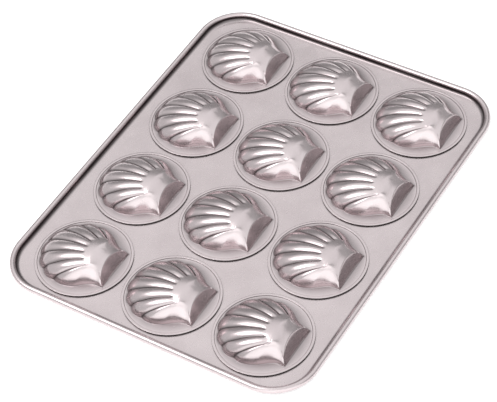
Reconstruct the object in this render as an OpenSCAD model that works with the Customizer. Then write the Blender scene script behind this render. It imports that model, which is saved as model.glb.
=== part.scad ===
// Twelve-cup shell baking pan, lying with its domes up: a sheet tray with a rolled and wired rim,
// and twelve pressed shell cups, each with its flange edge folded over the collar of its hole.
// +X runs along the four-cup side, +Y along the three-cup side towards the fans, Z = 0 is the flat
// face that the tray rests on.

/* [Layout] */
// Distance between cup centres along the long side
long_pitch = 92.6; // [90:0.1:110]
// Distance between cup centres along the short side
short_pitch = 91.6; // [90:0.1:110]
// Distance from the outer cup centres to the bead centre, along the long side
long_margin = 52.7; // [51:0.1:70]
// Distance from the outer cup centres to the bead centre, along the short side
short_margin = 58.3; // [51:0.1:75]

/* [Tray] */
// Thickness of the tray sheet
sheet_t = 0.8; // [0.6:0.05:1]
// Radius of the tray corners, at the bead centre
corner_r = 39; // [25:0.5:44]
// Diameter of the wire inside the rolled rim
wire_d = 3.8; // [3:0.1:4.4]
// Gap round the wire inside the roll
wire_gap = 0.05; // [0.02:0.01:0.1]
// Inside radius of the bend that turns the rim up
bend_r = 3.6; // [3:0.1:5]
// Angle that the rolled edge turns round the wire, from the wall
roll_turn = 300; // [240:5:305]

/* [Cup rim] */
// Outer diameter of the folded ring round a cup
hem_d = 88; // [86:0.5:89]
// Height of the folded ring above the tray face
hem_h = 1.5; // [1.4:0.1:2]
// Height of the cup's flat flange above the tray face
flange_h = 0.9; // [0.8:0.05:1]
// Thickness of the cup sheet
cup_t = 0.7; // [0.5:0.05:0.75]
// Gap between the hole collar and the fold on each side of it
hem_gap = 0.15; // [0.1:0.01:0.2]

/* [Shell] */
// Height of the shell's smooth crown above the flange
dome_h = 19.6; // [14:0.1:24]
// Distance from the lobes' outer reach to the outer edge of the folded ring
fan_margin = 3.9; // [3.6:0.1:8]
// Distance of the fan's centre from the cup centre, away from the hinge
fan_shift = 5.3; // [4:0.1:6]
// Angle between two neighbouring notches, seen from the fan's centre
notch_step = 27.8; // [26:0.1:28.5]
// How far each lobe bulges past the notches
lobe_bulge = 1.6; // [0.8:0.1:1.8]
// Depth of the grooves between the lobes
groove_d = 1.7; // [0.8:0.1:2]
// Distance from the straight hinge edge back to the groove tips' centre
tip_back = 11; // [9:0.5:13]
// Distance of the middle groove's tip from that centre
tip_r = 14.6; // [13:0.1:16]
// Distance from the straight hinge edge to the outer edge of the folded ring
hinge_margin = 11; // [9:0.5:13]
// Length of the straight hinge edge
hinge_w = 42; // [38:0.5:44]
// Height of the hinge end face above the flange, at its middle
hinge_h = 14; // [10:0.5:16]

/* [Hidden] */
$fn = 96;
long_count = 4;               // cups along the long side; NODES below names all twelve cups
short_count = 3;              // cups along the short side
half_grooves = 3;             // grooves on each side of the middle one
tip_step = 24.2;              // angle between two neighbouring groove tips
tip_grow = 0.88;              // each tip lies this much further out than the last one
crown_drop = 0.15;            // share of the crown's height lost at the outermost groove
crown_power = 0.65;           // roundness of the fan's fall to the flange
crown_rise = 1.02;            // height of the crown's middle, as a share of its edge's
groove_power = 0.7;           // sharpness of a groove's section
groove_fade = 3;              // the grooves fade out over the last third of their length
face_lean = 0.41;             // how far the end face leans back for each unit of height
rear_back = 10.5;             // distance from the hinge edge back to where the crown ends
rear_v = 9.5;                 // half width of the crown there
rear_h = 0.86;                // share of the crown's height left there
neck_turn = 143;              // angle of the neck, seen from the fan's centre
fold_bevel = 0.35;            // bevel on the folded ring's upper edges
lap = 0.8;                    // the shell's flange runs into the folded ring by half of this
sheet_tone = [0.82, 0.78, 0.79];
wire_tone = [0.45, 0.45, 0.47];
roll_r = wire_d / 2 + wire_gap + sheet_t;
bead_z = sheet_t + bend_r;
bend_in = roll_r + bend_r;
cup_n = long_count * short_count;
half_l = (long_count - 1) * long_pitch / 2 + long_margin;
half_w = (short_count - 1) * short_pitch / 2 + short_margin;
flange_z = sheet_t + flange_h;
hem_z = sheet_t + hem_h;
hem_r = hem_d / 2;
collar_out = hem_r - cup_t - hem_gap;
collar_in = collar_out - sheet_t;
flange_r = collar_in - hem_gap;
collar_z = hem_z - cup_t - hem_gap;
washer_r = flange_r - cup_t - lap;
fan_r = hem_r - fan_margin - lobe_bulge - fan_shift;
hinge_shift = hem_r - hinge_margin;
tip_shift = hinge_shift - tip_back;
rear_u = hinge_shift - rear_back;
neck_k = neck_turn / notch_step;
sweep_t = [0.07, 0.3, 0.55, 0.78, 0.93, 1];
lobe_steps = [0, 0.2, 0.5, 0.8];
side_k = [half_grooves, 3.2, 3.5, 4.1, 4.7];
ear_shares = [1, 0.94, 0.87];
hinge_shares = [0.8, 0.42];
face_steps = [0.3, 0.6, 0.85];

// How much of a lobe stands at k, counted in grooves from the middle one: 0 in a groove, 1 on a crest
function lobe(k) = k <= half_grooves ? abs(sin(180 * k)) : sin(min(90, (k - half_grooves) * 180));

// Where the fan meets the crown, and where it meets the flange
function fan_tip(k) = let(q = min(k, half_grooves), r = tip_r + tip_grow * q,
    p = [tip_shift - r * cos(tip_step * q), r * sin(tip_step * q)],
    s = max(0, (k - half_grooves) / (neck_k - half_grooves)))
    p * (1 - s) + [rear_u, rear_v] * s;
function fan_foot(k) = let(r = fan_r + lobe_bulge * lobe(k))
    [-fan_shift - r * cos(notch_step * k), r * sin(notch_step * k)];

// Height of the fan above the flange at share t of the way from the crown to the flange
function crest_h(k) = dome_h * (1 - crown_drop * pow(min(k, half_grooves) / half_grooves, 2));
function fan_h(k, t) = crest_h(k) * pow(1 - t * t, crown_power)
    - groove_d * (1 - pow(lobe(k), groove_power)) * min(1, groove_fade * (1 - t));
function fan_point(k, t) = let(a = fan_tip(k), b = fan_foot(k), p = a + (b - a) * t) [p.x, p.y, fan_h(k, t)];

// Height of the part behind the crown: an arch over the hinge's width, cut by the leaning end face
function ridge_h(u) = rear_h * dome_h
    + (hinge_h - rear_h * dome_h) * (u - rear_u) / (hinge_shift - face_lean * hinge_h - rear_u);
function arch_h(u, v) = min(max(0, ridge_h(u)) * sqrt(max(0, 1 - pow(2 * v / hinge_w, 2))),
    (hinge_shift - u) / face_lean);
function rear_point(a, b, t) = let(p = a + (b - a) * t) [p.x, p.y, t == 1 ? 0 : arch_h(p.x, p.y)];

// A line across the end face: up to its edge in four steps, then down it in two
function edge_point(v) = let(h = hinge_h * sqrt(max(0, 1 - pow(2 * v / hinge_w, 2))))
    [hinge_shift - face_lean * h, v, h];
function face_line(a, v) = let(e = edge_point(v), b = [hinge_shift, v, 0])
    concat([for (s = face_steps) let(p = [a.x, a.y] * (1 - s) + [e.x, e.y] * s)
        [p.x, p.y, arch_h(p.x, p.y)]], [e, (e + b) / 2, b]);

// Half of the shell as lines from the crown's edge to the flange, from the middle groove to the hinge
function fan_line(k) = concat([[fan_tip(k).x, fan_tip(k).y, crest_h(k)]],
    [for (t = sweep_t) fan_point(k, t)]);
function ear_line(u, s) = let(a = [rear_u, rear_v * s], b = [u, hinge_w / 2])
    concat([[a.x, a.y, arch_h(a.x, a.y)]], [for (t = sweep_t) rear_point(a, b, t)]);
function hinge_line(v) = let(a = [rear_u, rear_v * 2 * v / hinge_w])
    concat([[a.x, a.y, arch_h(a.x, a.y)]], face_line(a, v));
neck_u = -fan_shift - (fan_r + lobe_bulge) * cos(neck_turn);
half_lines = concat(
    [for (g = [0 : half_grooves - 1], s = lobe_steps) fan_line(g + s)],
    [for (k = side_k) fan_line(k)],
    [for (i = [0 : 2]) ear_line(neck_u + (hinge_shift - neck_u) * i / 2, ear_shares[i])],
    [for (s = hinge_shares) hinge_line(s * hinge_w / 2)]);
function flip(line) = [for (p = line) [p.x, -p.y, p.z]];
half_n = len(half_lines);
shell_lines = concat(half_lines, [hinge_line(0)],
    [for (i = [half_n - 1 : -1 : 1]) flip(half_lines[i])]);

// The sheet's inner face lies one thickness inside the outer one
line_n = len(shell_lines);
ring_n = len(shell_lines[0]);
crown_u = (tip_shift - tip_r + rear_u) / 2;
function at(i, j) = j < 0 ? [crown_u, 0, dome_h * crown_rise] : shell_lines[(i + line_n) % line_n][j];
function normal(i, j) = let(c = cross(at(i + 1, j) - at(i - 1, j), at(i, j + 1) - at(i, j - 1))) c / norm(c);
function inner(i, j) = j < ring_n - 1
    ? at(i, j) - cup_t * normal(i, j)
    : let(p = at(i, j), d = [p.x - crown_u, p.y]) [p.x, p.y, -cup_t] - cup_t * [d.x, d.y, 0] / norm(d);
function rim_point(i, z) = let(p = at(i, ring_n - 1), r = washer_r + lap / 2)
    concat([p.x, p.y] * r / norm([p.x, p.y]), z);

module shell_form() {
    outer = [for (j = [0 : ring_n - 1], i = [0 : line_n - 1]) at(i, j)];
    edge = [for (z = [0, -cup_t], i = [0 : line_n - 1]) rim_point(i, z)];
    under = [for (j = [ring_n - 1 : -1 : 0], i = [0 : line_n - 1]) inner(i, j)];
    rows = 2 * ring_n + 2;
    last = (rows - 1) * line_n;
    top = line_n * rows;
    polyhedron(
        points = concat(outer, edge, under, [at(0, -1), at(0, -1) - [0, 0, cup_t]]),
        faces = concat(
            [for (i = [0 : line_n - 1]) [top, i, (i + 1) % line_n]],
            [for (j = [0 : rows - 2], i = [0 : line_n - 1]) let(n = (i + 1) % line_n)
                [j * line_n + i, (j + 1) * line_n + n, j * line_n + n]],
            [for (j = [0 : rows - 2], i = [0 : line_n - 1]) let(n = (i + 1) % line_n)
                [j * line_n + i, (j + 1) * line_n + i, (j + 1) * line_n + n]],
            [for (i = [0 : line_n - 1]) [top + 1, last + (i + 1) % line_n, last + i]]));
}

// The flange's folded ring: up over the collar, down its outside, with its foot on the tray
module hem() {
    rotate_extrude() polygon([
        [washer_r, flange_z - cup_t], [flange_r, flange_z - cup_t], [flange_r, hem_z - cup_t],
        [hem_r - cup_t, hem_z - cup_t], [hem_r - cup_t, sheet_t], [hem_r, sheet_t],
        [hem_r, hem_z - fold_bevel], [hem_r - fold_bevel, hem_z], [flange_r - cup_t + fold_bevel, hem_z],
        [flange_r - cup_t, flange_z], [washer_r, flange_z]]);
}

function cup_place(i) = let(col = i % long_count, row = floor(i / long_count))
    [(col - (long_count - 1) / 2) * long_pitch, (row - (short_count - 1) / 2) * short_pitch, 0];

module shell_cup(i) color(sheet_tone) translate(cup_place(i)) union() {
    hem();
    translate([0, 0, flange_z]) rotate([0, 0, -90]) shell_form();
}

// Section of the rim: x is the distance outwards from the bead centre, y the height above it
module rim_section() {
    roll_end = 180 - roll_turn;
    far = 4 * roll_r;
    difference() {
        circle(r = roll_r);
        circle(r = roll_r - sheet_t);
        polygon([[0, 0], [far * cos(roll_end), far * sin(roll_end)], [-far, -far], [-far, 0]]);
    }
    translate([-bend_in, 0]) intersection() {
        difference() {
            circle(r = bend_r + sheet_t);
            circle(r = bend_r);
        }
        translate([0, -bend_in]) square(bend_in);
    }
}

// Four straight runs and four quarter turns of a section, round the tray at the bead's height
module round_tray() {
    for (side = [0 : 3]) {
        across = side % 2 == 0 ? half_w : half_l;
        length = 2 * ((side % 2 == 0 ? half_l : half_w) - corner_r);
        rotate([0, 0, 90 * side]) translate([-length / 2, across, bead_z])
            rotate([90, 0, 90]) linear_extrude(length) children();
    }
    for (c = [[1, 1, 0], [-1, 1, 90], [-1, -1, 180], [1, -1, 270]])
        translate([c.x * (half_l - corner_r), c.y * (half_w - corner_r), bead_z])
            rotate([0, 0, c.z]) rotate_extrude(angle = 90) translate([corner_r, 0]) children();
}

// The flat web's outline: a rectangle with quarter-round corners
module web_outline() {
    long_in = half_l - bend_in;
    short_in = half_w - bend_in;
    turn_in = corner_r - bend_in;
    square([2 * long_in, 2 * (short_in - turn_in)], center = true);
    square([2 * (long_in - turn_in), 2 * short_in], center = true);
    for (x = [-1, 1], y = [-1, 1])
        translate([x * (long_in - turn_in), y * (short_in - turn_in)]) circle(r = turn_in);
}

// The sheet tray: web, twelve holes with turned-up collars, and the rolled rim
module tray_plate() color(sheet_tone) union() {
    linear_extrude(sheet_t) difference() {
        web_outline();
        for (i = [0 : cup_n - 1]) translate(cup_place(i)) circle(r = collar_in);
    }
    for (i = [0 : cup_n - 1]) translate(cup_place(i)) linear_extrude(collar_z) difference() {
        circle(r = collar_out);
        circle(r = collar_in);
    }
    round_tray() rim_section();
}

// The wire that the rim is rolled round
module rim_wire() color(wire_tone) round_tray() circle(d = wire_d);

tray_plate();
rim_wire();
for (i = [1 : cup_n]) shell_cup(i - 1);
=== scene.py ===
import math

import bmesh
import bpy
import numpy as np
from mathutils import Matrix, Vector


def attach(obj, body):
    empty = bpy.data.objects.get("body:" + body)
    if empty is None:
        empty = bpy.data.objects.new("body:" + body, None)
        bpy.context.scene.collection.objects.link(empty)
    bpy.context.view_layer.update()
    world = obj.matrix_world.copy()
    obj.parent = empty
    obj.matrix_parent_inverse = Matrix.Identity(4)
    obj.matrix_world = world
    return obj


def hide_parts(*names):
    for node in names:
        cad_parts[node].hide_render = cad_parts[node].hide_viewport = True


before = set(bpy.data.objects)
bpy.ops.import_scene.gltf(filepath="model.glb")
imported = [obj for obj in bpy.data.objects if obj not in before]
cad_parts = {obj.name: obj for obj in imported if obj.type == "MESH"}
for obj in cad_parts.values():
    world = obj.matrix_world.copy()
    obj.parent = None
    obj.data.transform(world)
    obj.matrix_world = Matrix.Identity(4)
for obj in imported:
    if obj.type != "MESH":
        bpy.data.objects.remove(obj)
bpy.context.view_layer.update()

MM = 0.001

# The pan's layout and tray, in millimetres
LONG_COUNT, SHORT_COUNT = 4, 3
LONG_PITCH, SHORT_PITCH = 92.6, 91.6
LONG_MARGIN, SHORT_MARGIN = 52.7, 58.3
SHEET = 0.8
CORNER_R = 39.0
BEND_R = 3.6
ROLL_R = 2.75
ROLL_TURN = math.radians(300)
BEND_IN = ROLL_R + BEND_R
BEAD_Z = SHEET + BEND_R
HALF_L = (LONG_COUNT - 1) * LONG_PITCH / 2 + LONG_MARGIN
HALF_W = (SHORT_COUNT - 1) * SHORT_PITCH / 2 + SHORT_MARGIN

# The cup's rim and shell, in millimetres
CUP_T = 0.7
HEM_R = 44.0
HEM_Z = SHEET + 1.5
FLANGE_Z = SHEET + 0.9
HEM_GAP = 0.15
COLLAR_OUT = HEM_R - CUP_T - HEM_GAP
COLLAR_IN = COLLAR_OUT - SHEET
COLLAR_Z = HEM_Z - CUP_T - HEM_GAP
FLANGE_R = COLLAR_IN - HEM_GAP
DOME_H = 19.6
FAN_R, FAN_SHIFT, LOBE_BULGE = 33.2, 5.3, 1.6
NOTCH_STEP = math.radians(27.8)
TIP_SHIFT, TIP_R, TIP_GROW = 22.0, 14.6, 0.88
TIP_STEP = math.radians(24.2)
GROOVES = 3
NECK_K = math.radians(143) / NOTCH_STEP
HINGE_U, HINGE_W, HINGE_H = 33.0, 42.0, 14.0
FACE_LEAN = 0.41
REAR_U, REAR_V, REAR_H = 22.5, 9.5, 0.86
CROWN_DROP, CROWN_POWER = 0.15, 0.65
CROWN_U = (TIP_SHIFT - TIP_R + REAR_U) / 2
CROWN_RISE = 1.02
GROOVE_CUT, GROOVE_POWER, BLUNT_END = 2.1, 0.5, 0.06
FILLET = 0.55
FOLD_EDGE = 0.3
FAIR_IN, FAIR_OUT, FAIR_SLACK = 4.8, 7.8, 2.0
FACE_GAP, FACE_FADE = 0.4, 1.5

# How dark the painted shade along a groove's valley line is, and how sharply it ends on both sides
LINE_SHADE, LINE_POWER = 0.9, 3.5

# Counts of rows and lines in a shell's grid
LINE_ROWS, CROWN_ROWS, EASE_ROWS = 46, 11, 9
FAN_LINES, NECK_LINES, EAR_LINES, HINGE_LINES = 85, 37, 12, 19
ROW_POWER = 1.6
EDGE_PASSES, NECK_REACH, NECK_PASSES = 3, 10, 40

# The photograph's camera, in metres and degrees
CAM_TARGET = Vector((-0.01516, -0.00207, 0.0008))
CAM_DISTANCE = 1.7533
CAM_AZIMUTH, CAM_ELEVATION, CAM_ROLL = 54.04, 47.67, -6.52
CAM_LENS = 142.6

# Tones of the studio
CEILING, WALL_NEAR, WALL_LEFT, WALL_RIGHT, WALL_FAR = 1.13, 1.8, 0.72, 0.5, 0.32


def mesh_piece(name, points, faces, material, lit_share=None, sharp=50.0):
    """One object from an array of points in millimetres and an array of faces; faces that meet more
    steeply than sharp degrees keep a crease, the rest shade smoothly."""
    mesh = bpy.data.meshes.new(name)
    mesh.from_pydata((np.asarray(points) * MM).tolist(), [], [list(f) for f in faces])
    # The lit share is painted shade per point: 1 keeps the coat's colour, 0 paints it near black
    if lit_share is not None:
        mesh.attributes.new("lit_share", "FLOAT", "POINT").data.foreach_set("value", np.asarray(lit_share, np.float32))
    work = bmesh.new()
    work.from_mesh(mesh)
    bmesh.ops.remove_doubles(work, verts=work.verts, dist=2e-6)
    bmesh.ops.recalc_face_normals(work, faces=work.faces)
    work.to_mesh(mesh)
    work.free()
    mesh.materials.append(material)
    mesh.shade_smooth()
    mesh.set_sharp_from_angle(angle=math.radians(sharp))
    piece = bpy.data.objects.new(name, mesh)
    bpy.context.scene.collection.objects.link(piece)
    return piece


def band_faces(rows, n, closed=True):
    """Quads between neighbouring rows of n points each, the rows laid one after another."""
    j, i = np.meshgrid(np.arange(rows - 1), np.arange(n if closed else n - 1), indexing="ij")
    k = (i + 1) % n
    return np.stack([j * n + i, j * n + k, (j + 1) * n + k, (j + 1) * n + i], -1).reshape(-1, 4)


def smooth_step(x):
    """0 below 0, 1 above 1 and 3 x squared minus 2 x cubed between."""
    x = np.clip(x, 0, 1)
    return x * x * (3 - 2 * x)


def lobe(k):
    """Share of a lobe that stands at k grooves from the middle one: |sin| of a half turn a groove."""
    side = np.sin(np.minimum(np.pi / 2, np.maximum(0, k - GROOVES) * np.pi))
    return np.where(k <= GROOVES, np.abs(np.sin(np.pi * k)), side)


def fan_lines(k, t):
    """Outer sheet of the fan: straight lines in plan from the crown's edge to the foot, falling as
    (1 - t squared) to a power, with a groove on every whole k that starts with a blunt end."""
    k, t = k[:, None], t[None, :]
    q = np.minimum(k, GROOVES)
    r = TIP_R + TIP_GROW * q
    s = np.maximum(0, (k - GROOVES) / (NECK_K - GROOVES))
    tip_u = (TIP_SHIFT - r * np.cos(TIP_STEP * q)) * (1 - s) + REAR_U * s
    tip_v = r * np.sin(TIP_STEP * q) * (1 - s) + REAR_V * s
    foot_r = FAN_R + LOBE_BULGE * lobe(k)
    foot_u = -FAN_SHIFT - foot_r * np.cos(NOTCH_STEP * k)
    foot_v = foot_r * np.sin(NOTCH_STEP * k)
    crest = DOME_H * (1 - CROWN_DROP * (q / GROOVES) ** 2)
    crest = crest + (arch(REAR_U, REAR_V) - crest) * s
    dip = GROOVE_CUT * (1 - lobe(k) ** GROOVE_POWER)
    start = smooth_step(t / BLUNT_END)
    z = crest * (1 - t ** 2) ** CROWN_POWER - dip * start * np.minimum(1, 3 * (1 - t))
    # Painted shade: the colour along each groove's valley line is darkened where the lit share falls
    lit_share = 1 - LINE_SHADE * (1 - lobe(k)) ** LINE_POWER * start * np.ones_like(z)
    return np.stack([tip_u + (foot_u - tip_u) * t, tip_v + (foot_v - tip_v) * t, np.maximum(z, 0)], -1), lit_share


def ridge(u):
    """Height of the ridge behind the crown: a straight fall to the end face's upper edge."""
    run = HINGE_U - FACE_LEAN * HINGE_H - REAR_U
    return REAR_H * DOME_H + (HINGE_H - REAR_H * DOME_H) * (u - REAR_U) / run


def arch(u, v):
    """Half ellipse over the hinge's width, under the leaning plane of the end face."""
    side = np.sqrt(np.maximum(0, 1 - (2 * v / HINGE_W) ** 2))
    return np.minimum(np.maximum(0, ridge(u)) * side, (HINGE_U - u) / FACE_LEAN)


def ear_lines(u, share, t):
    """Lines from the crown's rear corner out to the ear's straight side."""
    u, share, t = u[:, None], share[:, None], t[None, :]
    pu = REAR_U + (u - REAR_U) * t
    pv = REAR_V * share + (HINGE_W / 2 - REAR_V * share) * t
    return np.stack([pu, pv, arch(pu, pv)], -1)


def hinge_lines(v, rows):
    """Lines from the crown's rear edge up to the end face's edge, then straight down the face."""
    v = v[:, None]
    top = HINGE_H * np.sqrt(np.maximum(0, 1 - (2 * v / HINGE_W) ** 2))
    edge_u = HINGE_U - FACE_LEAN * top
    split = int(rows * 0.55)
    a = np.linspace(0, 1, split)[None, :]
    start_v = REAR_V * 2 * v / HINGE_W
    pu = REAR_U + (edge_u - REAR_U) * a
    pv = start_v + (v - start_v) * a
    up = np.stack([pu, pv, arch(pu, pv)], -1)
    b = np.linspace(0, 1, rows - split + 1)[None, 1:]
    down = np.stack([edge_u + (HINGE_U - edge_u) * b, v + 0 * b, top * (1 - b)], -1)
    return np.concatenate([up, down], 1)


def soften(lines, passes):
    """Rounds the creases along each line by averaging neighbours, with both ends held."""
    out = lines.copy()
    for _ in range(passes):
        out[:, 1:-1] = (out[:, :-2] + 2 * out[:, 1:-1] + out[:, 2:]) / 4
    return out


def soften_neck(lines, at, reach, passes):
    """Rounds the valley between the last lobe and the ear: neighbouring lines are averaged over reach
    lines on both sides of line number at."""
    out = lines.copy()
    a, b = at - reach, at + reach
    for _ in range(passes):
        out[a:b] = (out[a - 1:b - 1] + 2 * out[a:b] + out[a + 1:b + 1]) / 4
    return out


def ease_crown(lines, share, end):
    """Carries the crown over into the ridge and the sides: on each line the heights before row end
    follow a cubic that starts level in the middle and meets the line's own height and slope there.
    Share says how far a line takes it on."""
    d = np.cumsum(np.linalg.norm(np.diff(lines[..., :2], axis=1, prepend=lines[:, :1, :2]), axis=-1), axis=1)
    z = lines[..., 2]
    slope = (z[:, end + 1] - z[:, end - 1]) / (d[:, end + 1] - d[:, end - 1])
    x = d[:, :end] / d[:, end:end + 1]
    cubic = (2 * x ** 3 - 3 * x ** 2 + 1) * z[:, :1] + (3 * x ** 2 - 2 * x ** 3) * z[:, end:end + 1]
    cubic += (x ** 3 - x ** 2) * (slope * d[:, end])[:, None]
    out = lines.copy()
    out[:, :end, 2] += share[:, None] * (cubic - z[:, :end])
    return out


def fair_corner(lines, side):
    """Lays one rear corner of the crown smooth: a thin-plate surface, the sum of r squared times log r
    over a ring of the shell's own points round the corner, takes over the heights inside the ring and
    fades out towards the end face's edge."""
    u, v, z = lines[..., 0], lines[..., 1], lines[..., 2]
    away = np.hypot(u - REAR_U, v - side * REAR_V)
    room = HINGE_U - FACE_LEAN * HINGE_H * np.sqrt(np.maximum(0, 1 - (2 * v / HINGE_W) ** 2)) - FACE_GAP - u
    ring = (away > FAIR_IN) & (away < FAIR_OUT) & (room > 0)
    step = max(1, int(ring.sum()) // 240)
    known = np.column_stack([u[ring], v[ring]])[::step]
    height = z[ring][::step]

    def plate(p):
        r = np.linalg.norm(p[:, None] - known[None], axis=-1)
        return r ** 2 * np.log(np.maximum(r, 1e-6))

    flat = np.column_stack([np.ones(len(known)), known])
    n = len(known)
    system = np.zeros((n + 3, n + 3))
    system[:n, :n] = plate(known) + FAIR_SLACK * np.eye(n)
    system[:n, n:], system[n:, :n] = flat, flat.T
    weights = np.linalg.solve(system, np.concatenate([height, np.zeros(3)]))
    inside = away < FAIR_OUT
    p = np.column_stack([u[inside], v[inside]])
    smooth = plate(p) @ weights[:n] + np.column_stack([np.ones(len(p)), p]) @ weights[n:]
    fade = np.clip((FAIR_OUT - away[inside]) / (FAIR_OUT - FAIR_IN), 0, 1)
    fade = smooth_step(fade * np.clip(room[inside] / FACE_FADE, 0, 1))
    out = lines.copy()
    out[inside, 2] += fade * (smooth - z[inside])
    return out


def shell_lines():
    """Outer sheet of the whole shell as lines from the crown's middle to the foot, mirrored in v."""
    t = 1 - (1 - np.linspace(0, 1, LINE_ROWS)) ** ROW_POWER
    even = np.linspace(0, GROOVES, FAN_LINES)
    k = np.unique(np.concatenate([even - 0.75 * np.sin(2 * np.pi * even) / (2 * np.pi),
                                  GROOVES + (NECK_K - GROOVES) * np.linspace(0, 1, NECK_LINES) ** 1.4]))
    fan, fan_lit_share = fan_lines(k, t)
    neck_u = -FAN_SHIFT - (FAN_R + LOBE_BULGE) * math.cos(NOTCH_STEP * NECK_K)
    last = 0.87
    ear = ear_lines(np.linspace(neck_u, HINGE_U, EAR_LINES)[1:], np.linspace(1, last, EAR_LINES - 1), t)
    hinge = hinge_lines(np.linspace(last, 0, HINGE_LINES) * HINGE_W / 2, LINE_ROWS)
    half = np.concatenate([fan, soften(ear, EDGE_PASSES), soften(hinge, EDGE_PASSES)])
    half = soften_neck(half, len(fan) - 1, NECK_REACH, NECK_PASSES)
    # Painted shade lies only on the fan's groove lines; ear and hinge keep the coat's colour
    lit_share = np.concatenate([fan_lit_share, np.ones(ear.shape[:2]), np.ones(hinge.shape[:2])])
    whole = np.concatenate([half, half[-2:0:-1] * [1, -1, 1]])
    lit_share = np.concatenate([lit_share, lit_share[-2:0:-1]])
    s = np.linspace(0, 1, CROWN_ROWS + 1)[None, :-1, None]
    middle = np.array([CROWN_U, 0, DOME_H * CROWN_RISE])
    edge = whole[:, :1]
    crown = middle + (edge - middle) * s
    crown[..., 2] = middle[2] + (edge[..., 2] - middle[2]) * s[..., 0] ** 2
    share = np.clip(3 * (k - GROOVES) / (NECK_K - GROOVES), 0, 1)
    share = np.concatenate([share, np.ones(len(half) - len(k))])
    share = np.concatenate([share, share[-2:0:-1]])
    full = ease_crown(np.concatenate([crown, whole], 1), share, CROWN_ROWS + EASE_ROWS)
    for side in (1, -1):
        full = fair_corner(full, side)
    return full, np.concatenate([np.ones(crown.shape[:2]), lit_share], 1)


def sheet_normals(lines):
    """Unit normals of a grid of lines, from the cross product of its two directions."""
    around = np.roll(lines, -1, 0) - np.roll(lines, 1, 0)
    along = np.gradient(lines, axis=1)
    n = np.cross(around, along)
    n[:, 0] = [0, 0, 1]
    return n / np.maximum(np.linalg.norm(n, axis=-1, keepdims=True), 1e-9)


def cup_rows():
    """The pressed cup as rows of points, in order: outer shell, foot fillet, flange, folded ring,
    flange underside and inner shell one sheet thickness inside the outer one; with each point's lit
    share, painted shade that darkens the groove lines, the foot fillet and the crevices of the fold."""
    lines, lit_share = shell_lines()
    lines = lines.copy()
    normals = sheet_normals(lines)
    foot = lines[:, -1]
    out = foot[:, :2] - [CROWN_U, 0]
    out /= np.linalg.norm(out, axis=1, keepdims=True)
    keep = lines.shape[1] - 1
    rows = [lines[:, j] for j in range(keep)]
    lit_levels = [lit_share[:, j] for j in range(keep)]
    n = len(foot)

    def add(plan, z, lit_level=1.0):
        rows.append(np.column_stack([plan, np.full(n, z)]))
        lit_levels.append(np.full(n, lit_level))

    # Painted shade: the foot fillet's colour is darkened where shell meets flange
    for a in np.linspace(0, 1, 5):
        add(foot[:, :2] + out * FILLET * a, FILLET * (1 - a) ** 2, 0.6)
    ray = foot[:, :2] / np.linalg.norm(foot[:, :2], axis=1, keepdims=True)
    hem = HEM_Z - FLANGE_Z
    inner = FLANGE_R - CUP_T
    foot_z = SHEET - FLANGE_Z
    # Painted shade on the folded ring: dark at the foot of its inner wall, on the lower part of both rounded
    # edges and down the outer wall and underside
    turn = [(FOLD_EDGE * (1 - math.cos(a)), FOLD_EDGE * (1 - math.sin(a)), math.sin(a))
            for a in np.linspace(0, math.pi / 2, 5)]
    ring = [(inner - 0.4, 0, 1), (inner - 0.1, 0, 0.2), (inner, 0.1, 0)]
    ring += [(inner + side, hem - down, lit_level) for side, down, lit_level in turn]
    ring += [(HEM_R - side, hem - down, lit_level) for side, down, lit_level in turn[::-1]]
    ring += [(HEM_R, foot_z, 0), (HEM_R - CUP_T, foot_z, 0), (HEM_R - CUP_T, hem - CUP_T, 0),
             (FLANGE_R, hem - CUP_T, 0), (FLANGE_R, -CUP_T, 1)]
    for r, z, lit_level in ring:
        add(ray * r, z, lit_level)
    add(foot[:, :2] - out * CUP_T * 0.4, -CUP_T)
    under = lines - CUP_T * normals
    for j in range(keep - 1, -1, -1):
        rows.append(under[:, j])
        lit_levels.append(lit_share[:, j])
    return np.array(rows), np.array(lit_levels)


def cup_place(i):
    """Centre of cup i in plan, counted along the long side first."""
    return ((i % LONG_COUNT - (LONG_COUNT - 1) / 2) * LONG_PITCH,
            (i // LONG_COUNT - (SHORT_COUNT - 1) / 2) * SHORT_PITCH)


def build_cups(material):
    """Twelve cups from one grid: the shell's hinge side points to -Y, and each replaces its node."""
    rows, lit_levels = cup_rows()
    u, v, z = rows[..., 0], rows[..., 1], rows[..., 2] + FLANGE_Z
    faces = band_faces(rows.shape[0], rows.shape[1])
    for i in range(LONG_COUNT * SHORT_COUNT):
        x0, y0 = cup_place(i)
        points = np.stack([x0 + v, y0 - u, z], -1).reshape(-1, 3)
        cup = mesh_piece(f"pressed_cup_{i + 1}", points, faces, material, lit_levels.reshape(-1), sharp=60)
        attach(cup, "root")
        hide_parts(f"shell_cup_{i + 1}")


def rim_profile():
    """The rolled rim's section, from the web's top face out over the roll and back to its underside,
    as distance outwards from the bead's centre and height, and each point's lit share: painted shade
    darkens the crease between bend and roll."""
    bend = np.linspace(-math.pi / 2, 0, 13)
    roll = np.linspace(math.pi, math.pi - ROLL_TURN, 49)
    top = [(-BEND_IN + BEND_R * math.cos(a), BEAD_Z + BEND_R * math.sin(a)) for a in bend]
    top += [(ROLL_R * math.cos(a), BEAD_Z + ROLL_R * math.sin(a)) for a in roll[1:]]
    r = ROLL_R - SHEET
    low = [(r * math.cos(a), BEAD_Z + r * math.sin(a)) for a in roll[::-1]]
    r = BEND_R + SHEET
    low += [(-BEND_IN + r * math.cos(a), BEAD_Z + r * math.sin(a)) for a in bend[::-1][1:]]
    # Painted shade in the crease of the bend, fading out on the start of the roll
    shade = np.ones(len(top) + len(low))
    shade[:len(bend)] = np.clip(-bend / math.radians(84), 0, 1) ** 2
    shade[len(bend):len(bend) + 6] = np.linspace(0, 1, 7)[1:]
    return np.array(top + low), shade


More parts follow.
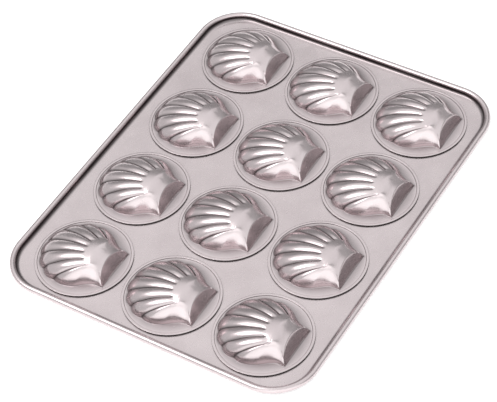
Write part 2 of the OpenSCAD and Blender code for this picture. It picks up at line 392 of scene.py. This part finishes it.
def web_cell(i):
    """One cell of the web round cup i: rays from the cup's centre to the cell's edge, which is the
    line halfway to the next cup, or the rounded outline where the bend starts."""
    x0, y0 = cup_place(i)
    col, row = i % LONG_COUNT, i // LONG_COUNT
    in_l, in_w, in_r = HALF_L - BEND_IN, HALF_W - BEND_IN, CORNER_R - BEND_IN
    left = -in_l if col == 0 else x0 - LONG_PITCH / 2
    right = in_l if col == LONG_COUNT - 1 else x0 + LONG_PITCH / 2
    low = -in_w if row == 0 else y0 - SHORT_PITCH / 2
    high = in_w if row == SHORT_COUNT - 1 else y0 + SHORT_PITCH / 2
    corners = [math.atan2(y - y0, x - x0) for x in (left, right) for y in (low, high)]
    even = np.linspace(-math.pi, math.pi, 145)[:-1]
    a = np.unique(np.round(np.concatenate([even, corners]), 9))
    c, s = np.cos(a), np.sin(a)
    with np.errstate(divide="ignore"):
        reach = np.minimum(np.where(c > 0, (right - x0) / c, np.where(c < 0, (left - x0) / c, np.inf)),
                           np.where(s > 0, (high - y0) / s, np.where(s < 0, (low - y0) / s, np.inf)))
    edge = np.column_stack([x0 + c * reach, y0 + s * reach])
    for sx in (-1, 1):
        for sy in (-1, 1):
            centre = np.array([sx * (in_l - in_r), sy * (in_w - in_r)])
            past = (sx * (edge[:, 0] - centre[0]) > 1e-9) & (sy * (edge[:, 1] - centre[1]) > 1e-9)
            past &= (abs(sx * in_l - x0) < LONG_PITCH) & (abs(sy * in_w - y0) < SHORT_PITCH)
            gap = np.array([x0, y0]) - centre
            b = c * gap[0] + s * gap[1]
            root = np.sqrt(np.maximum(0, b * b - gap @ gap + in_r * in_r))
            rounded = np.column_stack([x0 + c * (root - b), y0 + s * (root - b)])
            edge = np.where(past[:, None], rounded, edge)
    ray = np.column_stack([c, s])
    centre = np.array([x0, y0])
    under = np.linspace(math.pi / 2, 0, 5)
    rings = [(COLLAR_OUT, SHEET), (COLLAR_OUT, COLLAR_Z), (COLLAR_IN, COLLAR_Z)]
    rings += [(COLLAR_IN + 0.5 * (1 - math.sin(q)), 0.5 * (1 - math.cos(q))) for q in under]
    rows = [np.column_stack([edge, np.full(len(a), SHEET)])]
    rows += [np.column_stack([centre + ray * r, np.full(len(a), z)]) for r, z in rings]
    rows += [np.column_stack([edge, np.zeros(len(a))])]
    return np.array(rows), edge


def rim_stations(edges):
    """Every web edge point on the rounded outline, in order round the tray, with its outward direction."""
    in_l, in_w, in_r = HALF_L - BEND_IN, HALF_W - BEND_IN, CORNER_R - BEND_IN
    p = np.concatenate(edges)
    core = np.column_stack([np.clip(p[:, 0], -(in_l - in_r), in_l - in_r),
                            np.clip(p[:, 1], -(in_w - in_r), in_w - in_r)])
    off = p - core
    reach = np.linalg.norm(off, axis=1)
    on_edge = np.abs(reach - in_r) < 1e-4
    p, off = p[on_edge], off[on_edge] / reach[on_edge, None]
    _, first = np.unique(np.round(p, 4), axis=0, return_index=True)
    p, off = p[first], off[first]
    order = np.argsort(np.arctan2(p[:, 1] * in_l / in_w, p[:, 0]))
    return p[order], off[order]


def build_tray(material):
    """The tray: twelve web cells round their collars, and the rim's section carried round the outline."""
    points, faces, edges, lit_levels, count = [], [], [], [], 0
    for i in range(LONG_COUNT * SHORT_COUNT):
        rows, edge = web_cell(i)
        points.append(rows.reshape(-1, 3))
        faces.append(band_faces(rows.shape[0], rows.shape[1]) + count)
        lit_levels.append(np.ones(rows.shape[0] * rows.shape[1]))
        edges.append(edge)
        count += rows.shape[0] * rows.shape[1]
    base, out = rim_stations(edges)
    profile, shade = rim_profile()
    rows = [np.column_stack([base + out * (x + BEND_IN), np.full(len(base), z)]) for x, z in profile]
    rows = np.array(rows)
    points.append(rows.reshape(-1, 3))
    faces.append(band_faces(rows.shape[0], rows.shape[1]) + count)
    lit_levels.append(np.repeat(shade, rows.shape[1]))
    tray = mesh_piece("rolled_tray", np.concatenate(points), np.concatenate(faces), material,
                      np.concatenate(lit_levels), sharp=40)
    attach(tray, "root")
    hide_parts("tray_plate")


def node_in(tree, kind, **values):
    """Adds a shader node and sets the named input sockets."""
    node = tree.nodes.new(kind)
    for key, value in values.items():
        node.inputs[key.replace("_", " ")].default_value = value
    return node


def coat_material(name, light, dark, rough):
    """Semi-gloss metallic non-stick coat: cloudy tone, fine grain in its bump, mottled roughness,
    and painted shade that mixes the colour towards near black where the per-point lit share is low."""
    mat = bpy.data.materials.new(name)
    mat.use_nodes = True
    tree = mat.node_tree
    link = tree.links.new
    shader = tree.nodes["Principled BSDF"]
    shader.inputs["Metallic"].default_value = 0.92
    shader.inputs["Specular IOR Level"].default_value = 0.5
    place = node_in(tree, "ShaderNodeTexCoord")
    cloud = node_in(tree, "ShaderNodeTexNoise", Scale=28.0, Detail=3.0, Roughness=0.55)
    grain = node_in(tree, "ShaderNodeTexNoise", Scale=2600.0, Detail=2.0, Roughness=0.6)
    mottle = node_in(tree, "ShaderNodeTexNoise", Scale=180.0, Detail=4.0, Roughness=0.6)
    for noise in (cloud, grain, mottle):
        link(place.outputs["Object"], noise.inputs["Vector"])
    lit_share = tree.nodes.new("ShaderNodeAttribute")
    lit_share.attribute_name = "lit_share"
    tone = tree.nodes.new("ShaderNodeMapRange")
    tone.inputs["From Min"].default_value = 0.3
    tone.inputs["From Max"].default_value = 0.7
    link(cloud.outputs["Fac"], tone.inputs["Value"])
    mix = tree.nodes.new("ShaderNodeMix")
    mix.data_type = "RGBA"
    mix.inputs["A"].default_value = (*dark, 1)
    mix.inputs["B"].default_value = (*light, 1)
    link(tone.outputs["Result"], mix.inputs["Factor"])
    # Painted shade: near black mixed in by the lit share attribute
    painted_shade_mix = tree.nodes.new("ShaderNodeMix")
    painted_shade_mix.data_type = "RGBA"
    painted_shade_mix.inputs["A"].default_value = (0.02, 0.015, 0.015, 1)
    link(lit_share.outputs["Fac"], painted_shade_mix.inputs["Factor"])
    link(mix.outputs["Result"], painted_shade_mix.inputs["B"])
    link(painted_shade_mix.outputs["Result"], shader.inputs["Base Color"])
    gloss = tree.nodes.new("ShaderNodeMapRange")
    gloss.inputs["To Min"].default_value = rough - 0.05
    gloss.inputs["To Max"].default_value = rough + 0.07
    link(mottle.outputs["Fac"], gloss.inputs["Value"])
    link(gloss.outputs["Result"], shader.inputs["Roughness"])
    bump = node_in(tree, "ShaderNodeBump", Strength=0.05, Distance=0.00004)
    link(grain.outputs["Fac"], bump.inputs["Height"])
    link(bump.outputs["Normal"], shader.inputs["Normal"])
    return mat


def wire_material():
    """Drawn steel wire: darker, with the coat's fine grain in its bump and mottled roughness."""
    mat = coat_material("drawn_wire", (0.42, 0.42, 0.44), (0.33, 0.33, 0.35), 0.4)
    return mat


def make_camera():
    """The photograph's camera: a long lens, from its azimuth, elevation and roll about the pan."""
    a, e = math.radians(CAM_AZIMUTH), math.radians(CAM_ELEVATION)
    forward = Vector((math.sin(a) * math.cos(e), math.cos(a) * math.cos(e), -math.sin(e)))
    right = forward.cross(Vector((0, 0, 1))).normalized()
    right = Matrix.Rotation(math.radians(CAM_ROLL), 3, -forward) @ right
    up = right.cross(forward)
    data = bpy.data.cameras.new("photo_camera")
    data.lens = CAM_LENS
    data.sensor_fit = "HORIZONTAL"
    data.sensor_width = 36.0
    data.clip_end = 50.0
    camera = bpy.data.objects.new("photo_camera", data)
    turn = Matrix((right, up, -forward)).transposed()
    camera.matrix_world = Matrix.Translation(CAM_TARGET - forward * CAM_DISTANCE) @ turn.to_4x4()
    bpy.context.scene.collection.objects.link(camera)
    bpy.context.scene.camera = camera


def make_floor():
    """A pale matte floor that keeps the pan's soft shadow and runs out to white."""
    mesh = bpy.data.meshes.new("floor")
    size = 12.0
    mesh.from_pydata([(-size, -size, 0), (size, -size, 0), (size, size, 0), (-size, size, 0)], [], [(0, 1, 2, 3)])
    floor = bpy.data.objects.new("floor", mesh)
    floor.location.z = -0.00005
    bpy.context.scene.collection.objects.link(floor)
    mat = bpy.data.materials.new("floor_white")
    mat.use_nodes = True
    tree = mat.node_tree
    tree.nodes.clear()
    out = tree.nodes.new("ShaderNodeOutputMaterial")
    matte = node_in(tree, "ShaderNodeBsdfDiffuse", Color=(0.92, 0.92, 0.92, 1))
    lift = node_in(tree, "ShaderNodeEmission", Color=(1, 1, 1, 1), Strength=0.35)
    both = tree.nodes.new("ShaderNodeAddShader")
    seen = tree.nodes.new("ShaderNodeLightPath")
    pick = tree.nodes.new("ShaderNodeMixShader")
    tree.links.new(matte.outputs[0], both.inputs[0])
    tree.links.new(lift.outputs[0], both.inputs[1])
    level = seen.outputs["Is Camera Ray"]
    for other in ("Is Glossy Ray", "Is Transmission Ray"):
        most = tree.nodes.new("ShaderNodeMath")
        most.operation = "MAXIMUM"
        tree.links.new(level, most.inputs[0])
        tree.links.new(seen.outputs[other], most.inputs[1])
        level = most.outputs[0]
    tree.links.new(level, pick.inputs["Fac"])
    tree.links.new(matte.outputs[0], pick.inputs[1])
    tree.links.new(both.outputs[0], pick.inputs[2])
    tree.links.new(pick.outputs[0], out.inputs["Surface"])
    mesh.materials.append(mat)


def make_world():
    """A studio of plain tones: a bright ceiling, a bright wall behind the camera, grey ones on the
    left and the far side, and a dark one on the right."""
    world = bpy.data.worlds.new("studio")
    bpy.context.scene.world = world
    world.use_nodes = True
    tree = world.node_tree
    tree.nodes.clear()
    link = tree.links.new
    out = tree.nodes.new("ShaderNodeOutputWorld")
    place = tree.nodes.new("ShaderNodeTexCoord")
    a = math.radians(CAM_AZIMUTH)

    def wall(direction, start, end, level):
        """Tone level where the direction's share along a wall's direction passes from start to end."""
        side = tree.nodes.new("ShaderNodeVectorMath")
        side.operation = "DOT_PRODUCT"
        side.inputs[1].default_value = direction
        link(place.outputs["Generated"], side.inputs[0])
        blend = tree.nodes.new("ShaderNodeMapRange")
        blend.interpolation_type = "SMOOTHSTEP"
        blend.inputs["From Min"].default_value = start
        blend.inputs["From Max"].default_value = end
        blend.inputs["To Max"].default_value = level
        link(side.outputs["Value"], blend.inputs["Value"])
        return blend.outputs["Result"]

    level = wall((0, 0, 1), 0.5, 0.71, CEILING)
    for other in (wall((-math.sin(a), -math.cos(a), 0), 0.45, 0.8, WALL_NEAR),
                  wall((-math.cos(a), math.sin(a), 0), 0.35, 0.7, WALL_LEFT),
                  wall((math.cos(a), -math.sin(a), 0), 0.5, 0.8, WALL_RIGHT),
                  wall((math.sin(a), math.cos(a), 0), 0.5, 0.8, WALL_FAR)):
        most = tree.nodes.new("ShaderNodeMath")
        most.operation = "MAXIMUM"
        link(level, most.inputs[0])
        link(other, most.inputs[1])
        level = most.outputs[0]
    studio = node_in(tree, "ShaderNodeBackground", Color=(0.94, 1.0, 0.99, 1))
    link(level, studio.inputs["Strength"])
    link(studio.outputs[0], out.inputs["Surface"])


def make_softbox(name, toward, distance, size, power):
    """A square area lamp that faces the pan from a direction."""
    data = bpy.data.lights.new(name, "AREA")
    data.shape = "SQUARE"
    data.size = size
    data.energy = power
    lamp = bpy.data.objects.new(name, data)
    toward = Vector(toward).normalized()
    lamp.location = toward * distance
    lamp.rotation_euler = toward.to_track_quat("Z", "Y").to_euler()
    bpy.context.scene.collection.objects.link(lamp)


make_camera()
make_floor()
make_world()
make_softbox("softbox_left", (-0.37, 0.40, 0.85), 1.6, 0.9, 9.0)
LIGHT_COAT, DARK_COAT = (0.67, 0.565, 0.58), (0.61, 0.51, 0.525)
build_tray(coat_material("tray_coat", LIGHT_COAT, DARK_COAT, 0.27))
build_cups(coat_material("cup_coat", LIGHT_COAT, DARK_COAT, 0.24))
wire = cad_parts["rim_wire"]
wire.data.materials.clear()
wire.data.materials.append(wire_material())
bpy.context.scene.view_settings.view_transform = "Standard"
